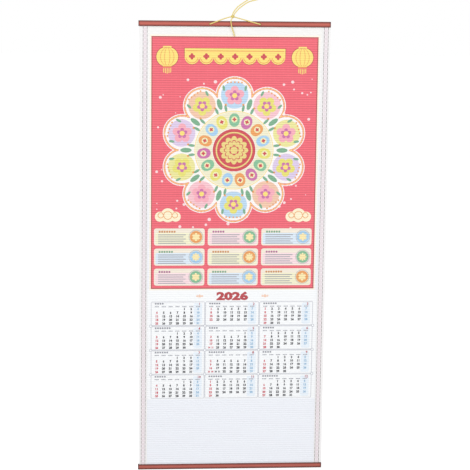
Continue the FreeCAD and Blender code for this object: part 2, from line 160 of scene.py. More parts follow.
class Number:
    """A shader value. Plain arithmetic on it adds Math nodes."""

    def __init__(self, shader, socket):
        self.shader, self.socket = shader, socket

    __add__ = __radd__ = maths("ADD")
    __mul__ = __rmul__ = maths("MULTIPLY")
    __sub__, __rsub__ = maths("SUBTRACT"), maths("SUBTRACT", swapped=True)
    __truediv__, __pow__, __mod__ = maths("DIVIDE"), maths("POWER"), maths("FLOORED_MODULO")
    __abs__, below, above = maths("ABSOLUTE"), maths("LESS_THAN"), maths("GREATER_THAN")


class Shader:
    """The nodes of a new material of the given name, or of a world, built from expressions."""

    def __init__(self, target):
        if isinstance(target, str):
            self.material = bpy.data.materials.new(target)
            self.material.use_nodes = True
            self.tree = self.material.node_tree
            self.surface = self.tree.nodes["Principled BSDF"]
            self.output = self.tree.nodes["Material Output"]
        else:
            self.tree = target.node_tree

    def node(self, kind, *numbered, settings=(), **named):
        node = self.tree.nodes.new(kind)
        for name, value in settings:
            setattr(node, name, value)
        for socket, value in list(enumerate(numbered)) + list(named.items()):
            self.feed(node.inputs[socket], value)
        return node

    def feed(self, socket, value):
        if isinstance(value, Number):
            value = value.socket
        if isinstance(value, bpy.types.NodeSocket):
            self.tree.links.new(value, socket)
        elif socket.type == "RGBA" and len(value) == 3:
            socket.default_value = (*value, 1.0)
        else:
            socket.default_value = value

    def where(self):
        return self.node("ShaderNodeTexCoord").outputs["Object"]

    def place(self):
        """The three Object coordinates, each a value in metres."""
        parts = self.node("ShaderNodeSeparateXYZ", self.where()).outputs
        return [Number(self, part) for part in parts]

    def noise(self, x, y, z, scale, detail=2.0):
        where = self.node("ShaderNodeCombineXYZ", x, y, z).outputs[0]
        node = self.node("ShaderNodeTexNoise", Vector=where, Scale=scale, Detail=detail)
        return Number(self, node.outputs["Fac"])

    def mix(self, share, first, second):
        node = self.node("ShaderNodeMix", settings=[("data_type", "RGBA")])
        for socket, value in ((0, share), (6, first), (7, second)):
            self.feed(node.inputs[socket], value)
        return node.outputs[2]

    def bands(self, way, scale):
        node = self.node("ShaderNodeTexWave", settings=[("bands_direction", way)],
                         Vector=self.where(), Scale=scale, Distortion=0.0)
        return Number(self, node.outputs["Fac"])

    def bump(self, height, distance, strength):
        node = self.node("ShaderNodeBump", Strength=strength, Distance=distance, Height=height)
        return node.outputs["Normal"]

    def clamped(self, value):
        node = self.node("ShaderNodeClamp", value)
        return Number(self, node.outputs[0])

    def seen(self):
        """1 where the camera sees the surface, straight, mirrored or through glass, and else 0."""
        rays = self.node("ShaderNodeLightPath").outputs
        camera, glossy, through = (Number(self, rays[f"Is {kind} Ray"])
                                   for kind in ("Camera", "Glossy", "Transmission"))
        return self.clamped(camera + glossy + through)

    def finish(self, **inputs):
        for name, value in inputs.items():
            self.feed(self.surface.inputs[name.replace("_", " ")], value)
        return self.material


def darker(tone, share):
    return tuple(part * share for part in tone)


def lighter(tone, share):
    return tuple(part + (1 - part) * share for part in tone)


def cane_and_seam(z):
    """The number of the cane at height z, with its fraction, and a value that rises from 0 at the
    cane's middle to 1 at its seams."""
    cane = (float(MAT_HIGH[2]) - z) / sizes().rib_pitch
    return cane, abs(cane % 1.0 - 0.5) * 2.0


def on_canes(name, tone, seam_shade_share, top_tone=None):
    """Print or paper on canes: painted shade along the seams between the canes, faintly mottled,
    with the mat's binding threads as low bumps that change sides from one cane to the next. A
    second tone takes over towards the mat's top."""
    shader = Shader(name)
    x, _, z = shader.place()
    cane, seam = cane_and_seam(z)
    whole = cane - cane % 1.0
    mottle = shader.noise(x, 0.0, z, 60.0, 3.0)
    fibre = shader.noise(x * 0.25, 0.0, z, 2600.0)
    streak = shader.noise(x * 3.0, 0.0, whole, 2.0, 1.0)
    thread = abs((x / THREAD_PITCH + whole * 0.5) % 1.0 - 0.5).below(THREAD_SHARE)
    # Painted shade in the seams between the canes: groove darkens the colour there.
    groove = seam ** 5.0
    shade = groove * 0.85 + mottle * 0.14 + streak * 0.16 + fibre * 0.10 - 0.17
    clear = shader.mix(shade, lighter(tone, 0.05), darker(tone, seam_shade_share))
    top = shader.mix(thread * 0.16, clear, lighter(tone, 0.25))
    if top_tone:
        share = shader.clamped((z - WARM_FROM) / (WARM_TO - WARM_FROM))
        top = shader.mix(share * (1.0 - groove * 0.1), top, top_tone)
    height = thread * (1.0 - groove) * 0.5 + fibre * 0.35 + mottle * 0.2
    return shader.finish(
        Base_Color=top, Roughness=fibre * 0.2 + 0.5, Normal=shader.bump(height, GRAIN, 0.7),
        Specular_IOR_Level=0.35)


# The heights between which the warmer paper takes over.
WARM_FROM, WARM_TO = -0.46, -0.02
# The mat's binding threads: their distance, and their width as a share of it.
THREAD_PITCH, THREAD_SHARE = 15.0 * MM, 0.022
GRAIN, FINE_GRAIN = 0.12 * MM, 0.08 * MM
# Where each rod starts to darken towards its ends, and the length over which it darkens.
END_DARK_FROM, END_DARK_FADE = float(TOP_HIGH[0]) - 2.4 * MM, 1.2 * MM


def rod_plastic():
    """Satin extruded plastic: fine draw lines along the rod, painted shade towards its top and
    bottom edges where the rounded front turns from the light, more painted shade on the lower rod
    and its underside, and a darker strip at each end."""
    shader = Shader("rod plastic")
    x, y, z = shader.place()
    tone = tone_of("rod")
    # Painted shade: darker towards the top and bottom edges of each rod, where its rounded front
    # turns from the light; on the lower rod this band is shifted down onto its underside.
    top_edge = abs(z - ROD_TOP_Z) / ROD_HALF
    foot_edge = abs(z - ROD_FOOT_Z - ROD_HALF * 0.1) / ROD_HALF
    near_top = z.above((ROD_TOP_Z + ROD_FOOT_Z) / 2)
    edge = top_edge * near_top + foot_edge * (1.0 - near_top)
    lines = shader.noise(x * 0.02, y, z, 1800.0, 3.0)
    cloud = shader.noise(x, y, z, 35.0, 3.0)
    # The rod darkens over its last few millimetres at each end.
    end = shader.clamped((abs(x) - END_DARK_FROM) / END_DARK_FADE)
    # Painted shade also makes the lower rod as a whole darker than the top rod.
    shade = edge ** 1.3 * 1.1 + lines * 0.18 + cloud * 0.16 - near_top * 0.17 + 0.01
    skin = shader.mix(shade + end * 0.6, lighter(tone, 0.02), darker(tone, 0.2))
    return shader.finish(
        Base_Color=skin, Roughness=lines * 0.18 + 0.3,
        Normal=shader.bump(lines * 0.6 + cloud * 0.2, FINE_GRAIN, 0.6), Specular_IOR_Level=0.3,
        Coat_Weight=0.06, Coat_Roughness=0.25)


def ribbon_cloth(name, outer, inner, lean):
    """White woven ribbon: a plain weave, ribs of the canes showing through as bumps with painted
    shade along their seams, and a printed band between outer and inner that leans by a share of the
    height, with a beaded line at each side and a fret of small steps between them."""
    shader = Shader(name)
    x, y, z = shader.place()
    across = abs((x - z * lean - outer) / (inner - outer) - 0.5)
    along = abs(z / FRET_PITCH % 1.0 - 0.5)
    line, inside = abs(across - 0.42).below(0.08), across.below(0.5)
    tooth = along.below(0.27) * across.below(0.22)
    hollow = along.below(0.12) * across.below(0.1)
    fret = tooth - hollow + across.below(0.06) * along.above(0.36)
    weave = shader.bands("X", 330.0) * 0.5 + shader.bands("Z", 420.0) * 0.5
    fade = shader.noise(x, y, z, 45.0)
    seam = cane_and_seam(z)[1]
    tone = tone_of("tape")
    band = shader.mix(inside * 0.75, tone, tone_of("band"))
    bead = along.above(0.2) * 0.42
    drawn = shader.mix(line * (fade * 0.6 + bead + 0.16), band, tone_of("band_line"))
    fretted = shader.mix(fret * inside * 0.55, drawn, tone_of("band_fret"))
    # A faint weave pattern, and painted shade along the seams of the canes under the ribbon.
    weave_and_seam_shade = shader.mix(weave * 0.06 + seam ** 4.0 * 0.06, fretted, darker(tone, 0.7))
    return shader.finish(
        Base_Color=weave_and_seam_shade, Roughness=0.75,
        Normal=shader.bump(weave * 0.5 - seam ** 3.0 * 0.8, GRAIN, 0.6))


FRET_PITCH = 6.8 * MM


def gold_thread():
    """Metallic thread over a yellow core, mottled and finely ribbed."""
    shader = Shader("gold thread")
    x, y, z = shader.place()
    tone = tone_of("gold")
    glint = shader.noise(x, y, z, 1400.0, 3.0)
    fibre = shader.noise(x, y, z, 5200.0)
    skin = shader.mix(glint * 1.6 - 0.4, darker(tone, 0.62), lighter(tone, 0.24))
    return shader.finish(
        Base_Color=skin, Metallic=glint * 0.3 + 0.1, Roughness=fibre * 0.25 + 0.3,
        Normal=shader.bump(fibre, FINE_GRAIN, 0.6))


# Meshes

def added(name, data):
    """A new object with the given data, in the scene."""
    item = bpy.data.objects.new(name, data)
    bpy.context.collection.objects.link(item)
    return item


def piece_from(name, points, faces, material, replaced=()):
    """A smooth piece that rides on the root body and stands for the replaced CAD nodes."""
    mesh = bpy.data.meshes.new(name)
    mesh.from_pydata(points.reshape(-1, 3).tolist(), [], faces)
    mesh.validate()
    mesh.update()
    mesh.shade_smooth()
    mesh.materials.append(material)
    piece = added(name, mesh)
    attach(piece, "root")
    if replaced:
        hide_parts(*replaced)
    return piece


def tube_faces(rows, columns):
    """Four-sided faces between neighbours of a grid, row by row, whose columns close round."""
    row, column = np.arange(rows - 1)[:, None], np.arange(columns)[None, :]
    beside = (column + 1) % columns
    corners = [row * columns + column, (row + 1) * columns + column,
               (row + 1) * columns + beside, row * columns + beside]
    return np.stack(np.broadcast_arrays(*corners), -1).reshape(-1, 4)


def ridge(z):
    """How far the front lies behind the crests at height z: the rib depth times a power of the
    distance from the cane's middle, as a share of half a cane."""
    share = np.abs(((MAT_HIGH[2] - z) / sizes().rib_pitch) % 1.0 - 0.5) * 2
    return sizes().rib_depth * share ** RIDGE_POWER


def ridged_mat():
    """The mat as one closed sheet. Front and back lie behind their crests by the ridge plus the
    size of a slow sine along each cane. Both are grids of height by width, joined all round."""
    per_cane, pitch = sizes().rows, sizes().rib_pitch
    canes = round(float(MAT_HIGH[2] - MAT_LOW[2]) / pitch)
    z = (MAT_HIGH[2] - np.arange(canes * per_cane + 1) * pitch / per_cane)[:, None]
    x = np.linspace(MAT_LOW[0], MAT_HIGH[0], MAT_COLUMNS)
    x[1], x[-2] = MAT_LOW[0] + MAT_RIM, MAT_HIGH[0] - MAT_RIM
    x = np.concatenate([x, x[::-1]])
    cane = np.floor((MAT_HIGH[2] - z) / pitch + 1e-6)
    depth = ridge(z) + np.abs(WANDER * np.sin(x * WANDER_WAVES + cane * WANDER_SHIFT))
    front = np.arange(2 * MAT_COLUMNS) < MAT_COLUMNS
    y = np.where(front, MAT_LOW[1] + depth, MAT_HIGH[1] - depth)
    points = np.stack(np.broadcast_arrays(x, y, z), -1)
    rows, width = y.shape
    faces = tube_faces(rows, width).tolist()
    for start, way in ((0, 1), ((rows - 1) * width, -1)):
        faces += [[start + column, start + column + 1, start + width - 2 - column,
                   start + width - 1 - column][::way] for column in range(MAT_COLUMNS - 1)]
    return points, faces


MAT_COLUMNS, MAT_RIM, RIDGE_POWER = 11, 0.2 * MM, 2.4
# The slow sine along each cane: its height, and its radians per metre and from cane to cane.
WANDER, WANDER_WAVES, WANDER_SHIFT = 0.012 * MM, 37, 2.1


def filled_rows(edges, per_cane):
    """Fills outlines by rows. In each row the sides that cross its middle are sorted along x, and
    each odd one and the next even one bound a four-sided face that follows those two sides."""
    step = sizes().rib_pitch / per_cane
    x0, z0, x1, z1 = edges.T
    low, high = np.minimum(z0, z1), np.maximum(z0, z1)
    first = int(math.floor((MAT_HIGH[2] - high.max()) / step))
    last = int(math.ceil((MAT_HIGH[2] - low.min()) / step))
    tops = MAT_HIGH[2] - np.arange(first, last) * step
    middles = tops - step / 2
    row, side = np.nonzero((low < middles[:, None]) & (middles[:, None] <= high))
    slope = (x1[side] - x0[side]) / (z1[side] - z0[side])

    def across(z):
        return x0[side] + (np.clip(z, low[side], high[side]) - z0[side]) * slope

    order = np.lexsort((across(middles[row]), row))
    left, right = order[0::2], order[1::2]
    top, foot = across(tops[row]), across(tops[row] - step)
    z_top, z_foot = tops[row[left]], tops[row[left]] - step
    x = np.stack([top[left], foot[left], foot[right], top[right]], -1)
    z = np.stack([z_top, z_foot, z_foot, z_top], -1)
    return x, z


def printed(name, outline, level, material, replaced, coarse):
    """A film of ink on the canes, at its level above them. The outline is a list of closed loops
    of points (x, z), or an array of loose sides: x and z at both ends. Equal corners are merged."""
    if isinstance(outline, list):
        outline = np.concatenate([np.concatenate([loop, np.roll(loop, -1, axis=0)], axis=1)
                                  for loop in outline])
    x, z = filled_rows(outline, sizes().rows if coarse else sizes().fine_rows)
    y = MAT_LOW[1] + ridge(z) - (level + 1) * sizes().ink_step
    places = np.round(np.stack([x, y, z], -1).reshape(-1, 3), 7)
    points, index = np.unique(places, axis=0, return_inverse=True)
    faces = index.reshape(-1, 4)
    top, foot = (np.linalg.norm(points[faces[:, left]] - points[faces[:, right]], axis=1)
                 for left, right in ((0, 3), (1, 2)))
    piece_from(name, points, faces[top + foot > THINNEST].tolist(), material, replaced)


THINNEST = 0.001 * MM


# Outlines, as arrays of x and z in metres

def polar(x, z, radius, count=72, turn=0.0):
    """A loop round (x, z) whose radius is a function of the angle from straight up, turned."""
    angle = np.arange(count) * TURN / count
    reach = radius(angle) if callable(radius) else np.full(count, radius)
    return np.stack([x + reach * np.sin(angle + turn), z + reach * np.cos(angle + turn)], -1)


def rectangle(left, foot, width, height, corner=0.0):
    """A rectangle, with each corner an arc of seven points where it has a radius."""
    steps = 7 if corner else 1
    quarter = np.repeat(np.arange(4), steps)
    angle = (quarter + np.tile(np.arange(steps) / 6, 4)) * math.pi / 2
    right, upper = (quarter % 3 == 0), quarter < 2
    x = np.where(right, left + width - corner, left + corner) + corner * np.cos(angle)
    z = np.where(upper, foot + height - corner, foot + corner) + corner * np.sin(angle)
    return np.stack([x, z], -1)


def frame_loops(left, foot, width, height, thick, corner=0.0):
    inner = max(corner - thick, 0.0)
    return [rectangle(left, foot, width, height, corner),
            rectangle(left + thick, foot + thick, width - 2 * thick, height - 2 * thick, inner)]


def union_reach(circles):
    """The radius, at each angle, of the farthest point that any circle has that way. A circle is
    (x, z, radius) from the middle: the ray meets it at the along-ray part of its middle plus the
    root of its radius squared less the sideways part squared."""
    def reach(angle):
        way = np.stack([np.sin(angle), np.cos(angle)], -1)
        best = np.zeros(len(angle))
        for x, z, radius in circles:
            along = way @ np.array([x, z])
            beside = radius ** 2 - (x ** 2 + z ** 2 - along ** 2)
            hit = np.where(beside > 0, along + np.sqrt(np.maximum(beside, 0)), 0)
            best = np.maximum(best, hit)
        return best
    return reach


def flower(petals, deep, size):
    """A radius of size at each petal's tip that falls by a deep share between two, along |cos|."""
    return lambda angle: size * (1 - deep + deep * np.abs(np.cos(petals * angle / 2)) ** 0.7)


def lens(slim, size):
    """A radius of size straight up and down that is slim at the sides: a leaf with blunt tips."""
    return lambda angle: size / np.hypot(np.cos(angle), np.sin(angle) / slim)


# Operators

class CALENDAR_OT_camera(bpy.types.Operator):
    """Places the camera where the calendar is seen from: a little above and to the left"""
    bl_idname = "calendar.camera"
    bl_label = "Camera"

    def execute(self, context):
        data = bpy.data.cameras.new("camera")
        data.lens = CAMERA_LENS
        data.sensor_width = 36.0
        data.clip_end = 50.0
        camera = context.scene.camera = added("camera", data)
        camera.location = CAMERA_PLACE
        camera.rotation_euler = [math.radians(angle) for angle in CAMERA_TURN]
        return {"FINISHED"}


CAMERA_LENS = 122.41
CAMERA_PLACE = (-0.1958, -2.6682, 0.1282)
CAMERA_TURN = (79.729, -0.674, -4.169)

# Cord routes, as the solids have them, in millimetres.
CORD_ROUTE = [
    (-6.3, -5.8, 11.7), (-12.6, -6.0, 11.0), (-38.5, -7.3, 1.0), (-42.0, -7.5, -0.3),
    (-42.0, -5.4, -0.3), (-42.0, -2.85, -0.3), (-39.0, -2.85, -0.3), (39.0, -2.85, -0.3),
    (42.0, -2.85, -0.3), (42.0, -5.4, -0.3), (42.0, -7.5, -0.3), (38.5, -7.3, 0.7),
    (-1.9, -6.2, 11.6),
]
LOOP_ROUTE = [
    (-4.7, -5.4, 13.8), (-4.0, -5.3, 17.6), (-0.4, -5.1, 23.2), (4.4, -4.7, 28.6),
    (11.3, -4.2, 33.6), (20.2, -3.6, 39.2), (27.8, -3.1, 44.9), (33.6, -2.8, 48.6),
    (39.6, -2.6, 46.4), (38.6, -2.7, 40.4), (31.0, -3.0, 39.0), (22.0, -3.6, 36.6),
    (13.4, -4.2, 31.0), (6.7, -4.7, 25.8), (1.9, -5.1, 20.8), (-1.4, -5.4, 16.6),
    (-2.3, -5.2, 13.9),
]
TAIL_ROUTE = [
    (-5.0, -7.4, 9.9), (-7.3, -7.7, 6.6), (-7.0, -7.6, 0.9), (-5.5, -7.4, -5.2),
    (-3.5, -6.7, -11.3), (-1.6, -5.9, -16.2), (-0.9, -5.6, -20.2),
]
KNOT_MIDDLE, KNOT_SIZE = np.array([[-4.2, -5.8, 12.0], [0.82, 0.8, 0.64]]) * MM
KNOT_SWELL = 1.14
KNOT_POINTS, KNOT_SIDES, KNOT_TWISTS = 240, 14, 10
TWIST_LENGTH, TWIST_DEPTH, CORD_STEP = 3.2 * MM, 0.26, 0.28 * MM
# A direction that no stretch of the cord runs along.
OFF_THE_CORD = np.array([0.12, 0.42, 0.9])


def mesh_of(curve):
    """The mesh that a curve or text gives, and its points. The curve itself is removed."""
    holder = bpy.data.objects.new(curve.name, curve)
    mesh = bpy.data.meshes.new_from_object(holder)
    flat = np.empty(len(mesh.vertices) * 3)
    mesh.vertices.foreach_get("co", flat)
    bpy.data.objects.remove(holder)
    bpy.data.curves.remove(curve)
    return mesh, flat.reshape(-1, 3)


def spline_points(name, route):
    """The points that a smooth NURBS line through the route's control points passes."""
    curve = bpy.data.curves.new(name, "CURVE")
    curve.dimensions = "3D"
    curve.resolution_u = 10
    spline = curve.splines.new("NURBS")
    spline.points.add(len(route) - 1)
    control = np.ones((len(route), 4))
    control[:, :3] = np.array(route) * MM
    spline.points.foreach_set("co", control.ravel())
    spline.order_u = 3
    spline.use_endpoint_u = True
    mesh, points = mesh_of(curve)
    bpy.data.meshes.remove(mesh)
    return points


def even_spacing(points, gap):
    """The same line with its points an even distance apart."""
    runs = np.linalg.norm(np.diff(points, axis=0), axis=1)
    along = np.concatenate([[0], np.cumsum(runs)])
    places = np.linspace(0, along[-1], max(8, int(along[-1] / gap)))
    return np.stack([np.interp(places, along, points[:, axis]) for axis in range(3)], -1), places


def twisted_tube(points, along, radius, sides=20):
    """A two-strand twisted cord: at each place along the line and each angle round it, the radius
    is the cord's less a share of one minus the size of the cosine of the angle less the twist."""
    way = np.gradient(points, axis=0)
    way /= np.linalg.norm(way, axis=1, keepdims=True)
    across = np.cross(way, OFF_THE_CORD)
    across /= np.linalg.norm(across, axis=1, keepdims=True)
    up = np.cross(across, way)
    angle = np.arange(sides) * TURN / sides
    wave = np.abs(np.cos(angle - along[:, None] * TURN / TWIST_LENGTH / 2))
    reach = radius * (1 - TWIST_DEPTH * (1 - wave))
    ring = across[:, None] * np.cos(angle)[:, None] + up[:, None] * np.sin(angle)[:, None]
    rows = len(points)
    faces = tube_faces(rows, sides)[:, ::-1].tolist()
    faces += [list(range(sides)), list(range((rows - 1) * sides, rows * sides))[::-1]]
    return points[:, None] + ring * reach[:, :, None], faces


class CALENDAR_OT_cord(bpy.types.Operator):
    """Makes the hanging cord, its loop and tail, and the knot that holds them"""
    bl_idname = "calendar.cord"
    bl_label = "Hanging cord"

    def execute(self, context):
        material = gold_thread()
        knot = self.knot(material)
        diameter = sizes().cord
        plans = [("hanging_cord_twist", CORD_ROUTE, "hanging_cord", "knot", "taut"),
                 ("loop_twist", LOOP_ROUTE, "cord_loop", "knot", "hanging"),
                 ("tail_twist", TAIL_ROUTE, "cord_tail", "bare", "hanging")]
        for name, route, node, end, lay in plans:
            line, along = even_spacing(spline_points(name, route), CORD_STEP)
            surface, faces = twisted_tube(line, along, diameter / 2)
            piece = piece_from(name, surface, faces, material, [node])
        return {"FINISHED"}

    def knot(self, material):
        """An overhand knot pulled tight: a line with x = sin t + 2 sin 2t, z = cos t - 2 cos 2t
        and y = -1.5 sin 3t, scaled to the knot's size, with a twisted tube round it."""
        angle = np.linspace(0, TURN, KNOT_POINTS)
        line = np.stack([np.sin(angle) + 2 * np.sin(2 * angle), -1.5 * np.sin(3 * angle),
                         np.cos(angle) - 2 * np.cos(2 * angle)], -1)
        line = line * KNOT_SIZE + KNOT_MIDDLE
        along = np.linspace(0, KNOT_TWISTS * TWIST_LENGTH, KNOT_POINTS)
        surface, faces = twisted_tube(line, along, sizes().cord * KNOT_SWELL / 2, KNOT_SIDES)
        return piece_from("knot_turns", surface, faces, material, ["cord_knot"])


class CALENDAR_OT_mat(bpy.types.Operator):
    """Makes the mat of canes"""
    bl_idname = "calendar.mat"
    bl_label = "Cane mat"

    def execute(self, context):
        points, faces = ridged_mat()
        paper = on_canes("paper canes", tone_of("paper"), 0.9, tone_of("warm_paper"))
        piece_from("mat_of_canes", points, faces, paper, ["cane_mat"])
        return {"FINISHED"}


# Where the printed band lies on each tape: its outer and inner edge, and its lean.
LEFT_BAND = (MAT_LOW[0] + 5.0 * MM, MAT_LOW[0] + 12.8 * MM, 0.0032)
RIGHT_BAND = (MAT_HIGH[0] - 2.6 * MM, MAT_HIGH[0] - 10.6 * MM, 0.0012)


class CALENDAR_OT_rods_and_tapes(bpy.types.Operator):
    """Finishes the two rods and the two edging tapes"""
    bl_idname = "calendar.rods_and_tapes"
    bl_label = "Rods and tapes"

    def execute(self, context):
        plastic = rod_plastic()
        for node, material in (
                ("top_rod", plastic), ("bottom_rod", plastic),
                ("left_edging_tape", ribbon_cloth("left edging ribbon", *LEFT_BAND)),
                ("right_edging_tape", ribbon_cloth("right edging ribbon", *RIGHT_BAND))):
            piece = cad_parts[node]
            piece.data.materials.clear()
            piece.data.materials.append(material)
        return {"FINISHED"}


# Print levels, from the canes outwards.
FIELD, SPARKLE, SHAPE, TINT, DETAIL, CENTRE, TOP = range(7)


def ink(name, outline, level, tone, seam=0.62, shift=0.0, slot=None, replaced=(), coarse=False):
    """Prints an outline in a named colour, darker by a shift below 0 and lighter by one above, with
    painted shade of its own darkness in the seams between the canes. It stands for the CAD node of
    its name. Large shapes are coarse."""
    screen = tone_of(tone)
    screen = darker(screen, 1 + shift) if shift < 0 else lighter(screen, shift)
    replaced = replaced or [node for node in ["print_" + name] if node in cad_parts]
    material = on_canes(f"{name.replace('_', ' ')} print", screen, seam)
    printed(name, outline, level, material, replaced, coarse)


class CALENDAR_OT_panel(bpy.types.Operator):
    """Prints the red panel, its cream border, its dark line and the scattered pale dots"""
    bl_idname = "calendar.panel"
    bl_label = "Panel"

    def execute(self, context):
        left, foot = PANEL_LOW[0], PANEL_LOW[2]
        width, height = PANEL_HIGH[0] - left, PANEL_HIGH[2] - foot
        ink("red_panel", [rectangle(left, foot, width, height)], FIELD, "red", 0.52, coarse=True)
        rim = sizes().border
        ink("cream_border", frame_loops(left - rim, foot - rim, width + 2 * rim,
                                        height + 2 * rim, rim), FIELD, "cream", 0.8, coarse=True)
        ink("panel_line", frame_loops(left, foot, width, height, PANEL_LINE), SPARKLE, "brown",
            0.7, -0.15)
        draw = np.random.default_rng(DOT_SEED)
        dots = []
        for dot in zip(draw.uniform(-DOT_REACH, DOT_REACH, DOT_TRIES) * width + PRINT_X,
                       draw.uniform(*DOT_HEIGHTS, DOT_TRIES) * height + foot,
                       draw.uniform(*DOT_RADII, DOT_TRIES) * MM):
            if all(math.dist(dot[:2], other[:2]) > dot[2] + other[2] + DOT_GAP for other in dots):
                dots.append(dot)
        ink("pale_dots", [polar(*dot, 16) for dot in dots], SPARKLE, "red", 0.7, 0.66, "white")
        return {"FINISHED"}


PANEL_LINE = 1.7 * MM
DOT_SEED, DOT_TRIES, DOT_GAP = 7, 120, 2 * MM
# How far the dots reach, as shares of the panel's width and height, and their radii in millimetres.
DOT_REACH, DOT_HEIGHTS, DOT_RADII = 0.47, (0.22, 0.85), (0.8, 2.9)
SHADE_WIDTH = 1.2 * MM


class CALENDAR_OT_garland(bpy.types.Operator):
    """Prints the garland and the two lanterns at the panel's top"""
    bl_idname = "calendar.garland"
    bl_label = "Garland and lanterns"

    def execute(self, context):
        low, high = box("print_garland")
        left, width = low[0], high[0] - low[0]
        radius = width / GARLAND_COUNT / 2
        foot = low[2] + radius
        ink("garland", [self.outline(left, foot, high[2], radius)], SHAPE, "yellow", 0.74,
            coarse=True)
        ink("garland_shade", [self.outline(left, foot, high[2], radius, SHADE_WIDTH)], SPARKLE,
            "brown", 0.7)
        middles = left + radius * (1 + 2 * np.arange(GARLAND_COUNT))
        mark = flower(4, 0.45, 5.2 * MM)
        ink("garland_marks", [polar(x, foot + 1 * MM, mark, 48) for x in middles], DETAIL,
            "crimson", 0.7)
        arcs = [rectangle(left + 2 * MM, foot + 9.5 * MM, width - 4 * MM, 1.2 * MM)]
        arcs += [self.arc(x, foot, radius - 1.6 * MM, radius - 2.7 * MM) for x in middles]
        ink("garland_lines", arcs, DETAIL, "orange", 0.74)
        self.lanterns()
        return {"FINISHED"}

    def outline(self, left, foot, top, radius, margin=0.0):
        """A band whose lower side is a row of half circles, with a margin round the band."""
        half = np.linspace(math.pi, TURN, 25)[:-1]
        scallops = [np.stack([left + radius * (1 + 2 * index + np.cos(half)),
                              foot + (radius + margin) * np.sin(half)], -1)
                    for index in range(GARLAND_COUNT)]
        right = left + 2 * radius * GARLAND_COUNT + margin
        rest = [[right, foot], [right, top + margin], [left - margin, top + margin],
                [left - margin, foot]]
        return np.concatenate(scallops + [np.array(rest)])

    def arc(self, x, z, outer, inner):
        """A thin half ring, open upwards."""
        half = np.linspace(math.pi * 1.04, math.pi * 1.96, 21)
        way = np.stack([np.cos(half), np.sin(half)], -1)
        return np.concatenate([way * outer, way[::-1] * inner]) + [x, z]

    def lanterns(self):
        low, high = box("print_lanterns")
        half, middle = (high[2] - low[2]) / 2, (high[2] + low[2]) / 2
        body, lines, tassels, shade = [], [], [], []
        for side in (-1, 1):
            x = PRINT_X + side * (high[0] - low[0] - LANTERN_WIDTH) / 2
            centre = middle + 2 * MM
            body.append(polar(x, centre, self.globe(0.0), 60))
            shade.append(polar(x, centre, self.globe(SHADE_WIDTH), 60))
            body.append(rectangle(x - 7 * MM, high[2] - 5 * MM, 14 * MM, 3 * MM, 1 * MM))
            lines += [self.rib(x, centre, share) for share in (-0.62, -0.24, 0.24, 0.62)]
            lines.append(rectangle(x - 7.5 * MM, middle - 15.2 * MM, 15 * MM, 2 * MM, 0.8 * MM))
            for step in range(-2, 3):
                tassels.append(rectangle(
                    x + (step * 2.9 - 0.7) * MM, low[2] - (4 - abs(step)) * MM,
                    1.4 * MM, half - (12.5 + abs(step)) * MM))
        ink("lanterns", body, SHAPE, "yellow", 0.74)
        ink("lantern_ribs", lines, DETAIL, "orange", 0.74)
        ink("tassels", tassels, DETAIL, "yellow", 0.74)
        ink("lantern_shade", shade, SPARKLE, "brown", 0.7)

    def globe(self, margin):
        """A lantern's radius: half its width at the sides and a share of that up and down."""
        return lambda angle: margin + LANTERN_WIDTH / 2 * (
            LANTERN_TALL + (1 - LANTERN_TALL) * np.abs(np.sin(angle)))

    def rib(self, x, z, share):
        """A lantern's rib: an upright half ellipse whose width is a share of the lantern's."""
        angle = np.linspace(-1.25, 1.25, 19)
        line = np.stack([share * LANTERN_WIDTH / 2 * np.cos(angle),
                         LANTERN_WIDTH * 0.42 * np.sin(angle)], -1)
        return np.concatenate([line - RIB_HALF, line[::-1] + RIB_HALF]) + [x, z]


GARLAND_COUNT = 7
LANTERN_WIDTH, LANTERN_TALL = 36 * MM, 0.86
RIB_HALF = np.array([0.45 * MM, 0])
LOBES, LOBE_RING, LOBE_RADIUS = 10, 92 * MM, 31 * MM
PETALS, PETAL_RING, PETAL_RADIUS = 15, 51 * MM, 10.2 * MM
HUB_RADIUS = 36 * MM


def around(shape, ring, start=0.0, points=48, count=LOBES, step=1, first=0):
    """Copies of a shape turned outwards on a ring about the hub: from the first, one in step."""
    angles = (start + np.arange(count) * TURN / count)[first::step]
    return [polar(PRINT_X + ring * math.sin(angle), HUB_Z + ring * math.cos(angle), shape, points,
                  angle) for angle in angles]


